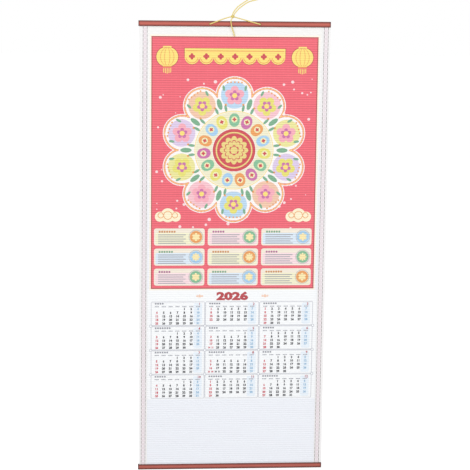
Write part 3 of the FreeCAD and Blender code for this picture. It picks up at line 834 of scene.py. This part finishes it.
class CALENDAR_OT_rosette(bpy.types.Operator):
    """Prints the rosette: lobes, blossoms, a ring of petals and the red hub, and two clouds"""
    bl_idname = "calendar.rosette"
    bl_label = "Rosette"

    def execute(self, context):
        self.lobes()
        self.blossoms()
        self.petals()
        self.hub()
        self.clouds()
        return {"FINISHED"}

    def lobed(self, radius):
        angles = np.arange(LOBES) * TURN / LOBES
        circles = [(x, z, radius) for x, z in
                   zip(LOBE_RING * np.sin(angles), LOBE_RING * np.cos(angles))]
        return polar(PRINT_X, HUB_Z, union_reach(circles + [(0, 0, LOBE_RING)]), 480)

    def lobes(self):
        ink("rosette", [self.lobed(LOBE_RADIUS - 3 * MM)], SHAPE, "white", 0.8, coarse=True)
        for name, radius, thick, tone, seam in (
                ("rosette_rim", LOBE_RADIUS + 1.4 * MM, 1.5 * MM, "white", 0.8),
                ("rosette_inner_rim", LOBE_RADIUS - 1.0 * MM, 1.1 * MM, "yellow", 0.74)):
            ink(name, [self.lobed(radius), self.lobed(radius - thick)], SHAPE, tone, seam,
                coarse=True)
        soft = [("blue", 0.2), ("pink", 0.25), ("lemon", 0.2), ("lilac", 0.0), ("orange", 0.35)]
        for number, (tone, share) in enumerate(soft):
            fields = around(23 * MM, LOBE_RING + 1 * MM, step=len(soft), first=number)
            ink(f"soft_{tone}_fields", fields, TINT, tone, shift=share, slot="white", coarse=True)

    def blossoms(self):
        kinds = (("pink_blossoms", "pink"), ("yellow_blossoms", "lemon"))
        for number, (name, tone) in enumerate(kinds):
            loops = around(flower(5, 0.34, 16.5 * MM), LOBE_RING, points=60, step=2, first=number)
            ink(name, loops, DETAIL, tone, 0.72, coarse=True)
        ink("blossom_hearts", around(flower(5, 0.5, 9 * MM), LOBE_RING, points=60), CENTRE,
            "rose", 0.72)
        ink("blossom_eyes", around(4.2 * MM, LOBE_RING, points=24), TOP, "yellow", 0.74)
        between = TURN / LOBES / 2
        leaves = around(lens(0.42, 9.5 * MM), LOBE_RING - 11 * MM, between)
        for side in (-1, 1):
            leaves += around(lens(0.4, 5.6 * MM), LOBE_RING - 20 * MM, between + side * 0.11)
            leaves += around(lens(0.42, 4.8 * MM), LOBE_RING + 14 * MM, side * 0.175)
        ink("leaves", leaves, DETAIL, "green", 0.72, -0.2)
        berries = []
        for reach, size, steps in ((22.5 * MM, 1.5 * MM, (-0.105, -0.055, 0.0, 0.055, 0.105)),
                                   (-14 * MM, 1.9 * MM, (-0.19, 0.19))):
            for step in steps:
                berries += around(size, LOBE_RING + reach, step, 12)
        ink("berries", berries, DETAIL, "orange", 0.76)

    def petals(self):
        def oval(angle):
            return PETAL_RADIUS * (1 + 0.12 * np.cos(2 * angle))

        tones = ("green", "rose", "orange", "blue", "lemon")
        for number, tone in enumerate(tones):
            loops = around(oval, PETAL_RING, count=PETALS, step=len(tones), first=number)
            ink(f"{tone}_petals", loops, DETAIL, tone, 0.74, coarse=True)
        for name, shape, level, tone, seam, shift in (
                ("petal_hearts", 5.2 * MM, CENTRE, "lemon", 0.8, 0.4),
                ("petal_dots", flower(4, 0.5, 3.4 * MM), TOP, "crimson", 0.74, 0.0)):
            ink(name, around(shape, PETAL_RING + 1 * MM, points=32, count=PETALS), level, tone,
                seam, shift)
        ink("petal_field", rings(64.5 * MM, 37 * MM), TINT, "petal_field", 0.72, coarse=True)
        ink("petal_ring_line", rings(66.5 * MM, 65.3 * MM), DETAIL, "yellow", 0.74)

    def hub(self):
        ink("red_hub", rings(HUB_RADIUS), DETAIL, "crimson", 0.7, coarse=True)
        ink("gold_band", rings(31 * MM, 28.6 * MM, points=140), CENTRE, "hub_gold", 0.74,
            replaced=["print_gold_ring"])
        bloom = rings(*(flower(12, 0.22, size * MM) for size in (24, 17.4, 15.8)), points=240)
        bloom += rings(flower(6, 0.3, 8.6 * MM), points=120) + rings(6.2 * MM, points=60)
        ink("gold_bloom", bloom, CENTRE, "hub_gold", 0.74)

    def clouds(self):
        low, high = box("print_clouds")
        middle, radius = (low[2] + high[2]) / 2, (high[2] - low[2]) / 2
        outlines, swirls = [], []
        for side in (-1, 1):
            x = PRINT_X + side * (high[0] - low[0] - 3.64 * radius) / 2
            circles = [(0, 0, radius)] + [(way * 1.1 * radius, -0.2 * radius, 0.72 * radius)
                                          for way in (-1, 1)]
            outlines.append(polar(x, middle, union_reach(circles), 160))
            for step, size in ((-1.0, 0.42), (0.0, 0.62), (1.0, 0.42)):
                swirls += [polar(x + step * radius, middle, size * radius - inset, 40)
                           for inset in (0.0, 1.1 * MM)]
        ink("clouds", outlines, SHAPE, "yellow", 0.76, 0.55, "cream")
        ink("cloud_swirls", swirls, DETAIL, "orange", 0.76)


def rings(*shapes, points=160):
    """Loops of the given radii round the hub."""
    return [polar(PRINT_X, HUB_Z, shape, points) for shape in shapes]


CARD_COLUMNS, CARD_ROWS, CARD_KINDS = 3, 3, 3
CARD_GAP, BLOCK, BLOCK_PITCH = 5.2 * MM, 3.2 * MM, 4.2 * MM
RULES, RULE_PITCH = 5, 3.6 * MM
SPOT_RADIUS, SPOT_RING = 10.5 * MM, (12.2 * MM, 11.3 * MM)


class CALENDAR_OT_cards(bpy.types.Operator):
    """Prints the nine cream cards, each with a round spot, a row of blocks and ruled lines"""
    bl_idname = "calendar.cards"
    bl_label = "Cards"

    def execute(self, context):
        low, high = box("print_cards")
        width = (high[0] - low[0] - (CARD_COLUMNS - 1) * CARD_GAP) / CARD_COLUMNS
        height = (high[2] - low[2] - (CARD_ROWS - 1) * CARD_GAP) / CARD_ROWS
        cards, rules, borders, hearts = [], [], [], []
        bars, spots, fields = ([[] for kind in range(CARD_KINDS)] for part in range(3))
        for number in range(CARD_ROWS * CARD_COLUMNS):
            row, column = divmod(number, CARD_COLUMNS)
            left, foot = low[0] + column * (width + CARD_GAP), low[2] + row * (height + CARD_GAP)
            kind = (row + column) % CARD_KINDS
            cards.append(rectangle(left, foot, width, height, 4 * MM))
            fields[kind].append(rectangle(left + 2.4 * MM, foot + 2.2 * MM, width - 4.8 * MM,
                                          height - 10 * MM, 2.6 * MM))
            bars[kind] += [rectangle(left + 8 * MM + step * BLOCK_PITCH, foot + 22.2 * MM,
                                     BLOCK, BLOCK, 0.9 * MM) for step in range(5 + kind)]
            rules += [rectangle(left + 7 * MM, foot + 3.4 * MM + line * RULE_PITCH,
                                (47 - 4 * (line % 2)) * MM, 1.4 * MM) for line in range(RULES)]
            x, z = left + width - height / 2, foot + height / 2
            spots[kind].append(polar(x, z, SPOT_RADIUS, 64))
            borders += [polar(x, z, radius, 64) for radius in SPOT_RING]
            hearts.append(polar(x, z, flower(6 + row % 2 * 2, 0.4, 7 * MM), 64))
        ink("cards", cards, SHAPE, "cream", 0.8, -0.08)
        for loops, tone in zip(fields, ("pink", "blue", "lemon")):
            ink(f"{tone}_card_fields", loops, TINT, tone, shift=0.56)
        ink("card_rules", rules, DETAIL, "grey", 0.8, -0.28)
        for loops, tone in zip(bars, ("rose", "green", "orange")):
            ink(f"{tone}_card_bars", loops, DETAIL, tone, shift=-0.3)
        for loops, tone in zip(spots, ("green", "blue", "orange")):
            ink(f"{tone}_spots", loops, DETAIL, tone)
        ink("spot_rings", borders, DETAIL, "ink", shift=0.45)
        ink("spot_hearts", hearts, CENTRE, "yellow", shift=0.3)
        return {"FINISHED"}


MONTH_COLUMNS, MONTH_ROWS = 3, 4
MONTH_WIDTH, MONTH_HEIGHT = 92.9 * MM, 42.9 * MM
MONTH_LEFT, MONTH_TOP = PRINT_X - MONTH_COLUMNS * MONTH_WIDTH / 2, -471.3 * MM
DAY_PITCH, WEEK_PITCH = 11.75 * MM, 6.25 * MM
FIRST_DAY_X, FIRST_WEEK_Z = 10.4 * MM, 13.2 * MM
# A sixth week's day shares the place of the day before it in the fifth row.
LAST_WEEK, SHARED_SIZE, SHARED_STEP = 4, 0.7, 0.25
# The white field behind the months: how far in from the mat's sides, and below the months.
FIELD_SIDE, FIELD_MARGIN = 13.4 * MM, 1.4 * MM
FRAME_LINE, FRAME_GAP = 0.75 * MM, 0.35 * MM
# The tint behind the Saturdays: its left side and width in days, and its distance from the frame.
TINT_FROM, TINT_WIDTH, TINT_INSET = 5.35, 1.25, 3 * MM
DAY_BOLD, MONTH_BOLD, YEAR_STRETCH = 0.06, 0.03, 1.48


def corners(rows, columns):
    """The left and the top of each place in the grid of months, row by row."""
    return [(MONTH_LEFT + column * MONTH_WIDTH, MONTH_TOP - row * MONTH_HEIGHT)
            for row in rows for column in range(columns)]


MONTHS = corners(range(MONTH_ROWS), MONTH_COLUMNS)


def numeral(text, height, bold, x=0.0, z=0.0):
    """The outline of a number of the given height, its middle at (x, z), as loose sides."""
    curve = bpy.data.curves.new("numeral", "FONT")
    curve.body = str(text)
    curve.align_x = "CENTER"
    curve.resolution_u = 2
    curve.offset = bold
    mesh, places = mesh_of(curve)
    sides = np.array([edge_key for face in mesh.polygons for edge_key in face.edge_keys])
    bpy.data.meshes.remove(mesh)
    single, count = np.unique(sides, axis=0, return_counts=True)
    outline = single[count == 1]
    places = places[:, :2]
    low, high = places[:, 1].min(), places[:, 1].max()
    places = (places - [0, (low + high) / 2]) * height / (high - low) + [x, z]
    return np.concatenate([places[outline[:, 0]], places[outline[:, 1]]], axis=1)


class CALENDAR_OT_dates(bpy.types.Operator):
    """Prints the year, the frames of the twelve months and their day numbers"""
    bl_idname = "calendar.dates"
    bl_label = "Dates"

    def execute(self, context):
        self.days()
        self.frames()
        self.heads()
        self.year()
        return {"FINISHED"}

    def days(self):
        year = sizes().year
        drawn = {day: numeral(day, sizes().digit_height, DAY_BOLD) for day in range(1, 32)}
        groups = {"sunday": [], "ink": [], "saturday": []}
        for month, (left, top) in enumerate(MONTHS, 1):
            start, last = monthrange(year, month)
            for day in range(1, last + 1):
                week, weekday = divmod((start + 1) % 7 + day - 1, 7)
                sides, shift = drawn[day], 0
                if week == LAST_WEEK + 1 or (week == LAST_WEEK and day + 7 <= last):
                    sides, shift = sides * SHARED_SIZE, 1 if week > LAST_WEEK else -1
                x = left + FIRST_DAY_X + (weekday + shift * SHARED_STEP) * DAY_PITCH
                z = top - FIRST_WEEK_Z - min(week, LAST_WEEK) * WEEK_PITCH
                groups[{0: "sunday", 6: "saturday"}.get(weekday, "ink")].append(
                    sides + [x, z, x, z])
        for tone, name in (("sunday", "sunday"), ("ink", "weekday"), ("saturday", "saturday")):
            ink(f"{name}_numbers", np.concatenate(groups[tone]), SHAPE, tone, 0.85,
                replaced=["print_date_blocks"] if tone == "ink" else ())
        low, width = TINT_FROM * DAY_PITCH, TINT_WIDTH * DAY_PITCH
        bands = [rectangle(left + FIRST_DAY_X + low, top - MONTH_HEIGHT + TINT_INSET, width,
                           MONTH_HEIGHT - 2 * TINT_INSET, TINT_INSET) for left, top in MONTHS]
        ink("saturday_tint", bands, SPARKLE, "saturday_tint", 0.85, coarse=True)

    def frames(self):
        foot = MONTH_TOP - MONTH_ROWS * MONTH_HEIGHT - FIELD_MARGIN
        field = rectangle(MAT_LOW[0] + FIELD_SIDE, foot, MAT_HIGH[0] - MAT_LOW[0] - 2 * FIELD_SIDE,
                          PANEL_LOW[2] - sizes().border - foot)
        ink("months_field", [field], FIELD, "field", 0.92, coarse=True)
        loops = [loop for left, top in MONTHS for loop in frame_loops(
            left + FRAME_GAP, top - MONTH_HEIGHT + FRAME_GAP, MONTH_WIDTH - 2 * FRAME_GAP,
            MONTH_HEIGHT - 2 * FRAME_GAP, FRAME_LINE, 2.4 * MM)]
        ink("month_frames", loops, SPARKLE, "grey", 0.85)
        places = corners(range(1, MONTH_ROWS), MONTH_COLUMNS + 1)
        ink("knot_fields", [polar(x, z, 2.1 * MM, 28) for x, z in places], SHAPE, "field", 0.92)
        ink("frame_knots", [polar(x, z, radius * MM, 28) for x, z in places
                            for radius in (2.5, 1.8)], TINT, "grey", 0.85)

    def heads(self):
        """A plain number at each month's right, a row of blocks at its left and three small ones
        over each weekday."""
        numbers, bars, titles = [], [], []
        for month, (left, top) in enumerate(MONTHS):
            numbers.append(numeral(month + 1, 4.6 * MM, MONTH_BOLD, left + MONTH_WIDTH - 9.5 * MM,
                                   top - 4.6 * MM))
            titles += [rectangle(left + (7 + 4 * step) * MM, top - 5.1 * MM, 2.9 * MM, 2.7 * MM,
                                 0.8 * MM) for step in range(4 + month % 4)]
            bars += [rectangle(left + FIRST_DAY_X + weekday * DAY_PITCH + (step * 2.5 - 0.95) * MM,
                               top - 9.7 * MM, 1.9 * MM, 1.7 * MM)
                     for weekday in range(7) for step in (-1, 0, 1)]
        ink("month_numbers", np.concatenate(numbers), SHAPE, "crimson", 0.85, -0.25)
        ink("week_bars", bars, SHAPE, "grey", 0.85, -0.25)
        ink("month_bars", titles, SHAPE, "grey", 0.85, -0.4)

    def year(self):
        middle = MONTH_TOP + 9.4 * MM
        sides = numeral(sizes().year, sizes().year_height, DAY_BOLD, 0.0, middle)
        sides[:, 0::2] = sides[:, 0::2] * YEAR_STRETCH + PRINT_X
        ink("year_numerals", sides, SPARKLE, "crimson", 0.8, -0.24)
        sprigs = [polar(PRINT_X + side * 56 * MM + step * 4.2 * MM, middle,
                        flower(5, 0.4, size * MM), 40)
                  for side in (-1, 1) for step, size in ((-1, 2.0), (0, 3.0), (1, 2.0))]
        ink("year_sprigs", sprigs, SPARKLE, "orange", 0.85, 0.4)


class CALENDAR_OT_stage(bpy.types.Operator):
    """Makes the white floor, the lamps and the world"""
    bl_idname = "calendar.stage"
    bl_label = "Stage"

    def execute(self, context):
        self.floor()
        for name, place, aim, size, power in LAMPS:
            data = bpy.data.lights.new(name, "AREA")
            data.shape = "RECTANGLE"
            data.size, data.size_y = size
            data.energy = power
            lamp = added(name, data)
            lamp.location = place
            x, y, z = np.array(aim) - np.array(place)
            lamp.rotation_euler = (math.atan2(math.hypot(x, y), -z), 0,
                                   math.atan2(y, x) - math.pi / 2)
        world = bpy.data.worlds.new("studio")
        world.use_nodes = True
        shade = world.node_tree.nodes["Background"]
        shade.inputs["Color"].default_value = (1.0, 1.0, 1.0, 1.0)
        rays = Shader(world)
        level = rays.seen() * (1.0 - WORLD_STRENGTH) + WORLD_STRENGTH
        rays.feed(shade.inputs["Strength"], level)
        context.scene.world = world
        context.scene.view_settings.view_transform = "Standard"
        return {"FINISHED"}

    def floor(self):
        """A flat white floor under the hanging calendar, clear when seen from below; the world is
        white beyond it."""
        corners = [(x * FLOOR_REACH, y * FLOOR_REACH, FLOOR_Z)
                   for x, y in ((-1, -1), (1, -1), (1, 1), (-1, 1))]
        mesh = bpy.data.meshes.new("floor")
        mesh.from_pydata(corners, [], [(0, 1, 2, 3)])
        shader = Shader("floor paper")
        glow = shader.node("ShaderNodeEmission", Strength=shader.seen() * FLOOR_GLOW,
                           Color=(1.0, 1.0, 1.0))
        matte = shader.node("ShaderNodeBsdfDiffuse", Color=(0.9, 0.9, 0.9))
        both = shader.node("ShaderNodeAddShader", matte.outputs[0], glow.outputs[0])
        under = shader.node("ShaderNodeNewGeometry").outputs["Backfacing"]
        clear = shader.node("ShaderNodeBsdfTransparent", Color=(1.0, 1.0, 1.0))
        paper = shader.node("ShaderNodeMixShader", under, both.outputs[0], clear.outputs[0])
        shader.tree.links.new(paper.outputs[0], shader.output.inputs["Surface"])
        mesh.materials.append(shader.material)
        added("floor", mesh)


FLOOR_Z, FLOOR_REACH = -0.86, 12.0
FLOOR_GLOW = 0.45
WORLD_STRENGTH = 0.63
LAMPS = (
    ("key lamp", (-0.9, -2.0, 1.1), (0.0, 0.0, -0.35), (1.4, 1.0), 21.5),
    ("fill lamp", (1.5, -1.8, 0.2), (0.0, 0.0, -0.4), (1.2, 1.6), 10.0),
)

STEPS = (
    CALENDAR_OT_camera, CALENDAR_OT_cord, CALENDAR_OT_mat, CALENDAR_OT_rods_and_tapes,
    CALENDAR_OT_panel, CALENDAR_OT_garland, CALENDAR_OT_rosette, CALENDAR_OT_cards,
    CALENDAR_OT_dates, CALENDAR_OT_stage,
)


class CALENDAR_PT_panel(bpy.types.Panel):
    bl_idname = "CALENDAR_PT_panel"
    bl_label = "Cane wall calendar"
    bl_space_type = "VIEW_3D"
    bl_region_type = "UI"
    bl_category = "Calendar"

    def draw(self, context):
        for settings in (context.scene.calendar_sizes, context.scene.calendar_colours):
            for name in settings.__annotations__:
                self.layout.prop(settings, name)
        for step in STEPS:
            self.layout.operator(step.bl_idname)


CLASSES = (CalendarSizes, CalendarColours, *STEPS, CALENDAR_PT_panel)


def register():
    for item in CLASSES:
        bpy.utils.register_class(item)
    bpy.types.Scene.calendar_sizes = PointerProperty(type=CalendarSizes)
    bpy.types.Scene.calendar_colours = PointerProperty(type=CalendarColours)


def unregister():
    del bpy.types.Scene.calendar_colours
    del bpy.types.Scene.calendar_sizes
    for item in reversed(CLASSES):
        bpy.utils.unregister_class(item)


def main():
    register()
    for step in STEPS:
        group, name = step.bl_idname.split(".")
        getattr(getattr(bpy.ops, group), name)()


if __name__ == "__main__":
    main()
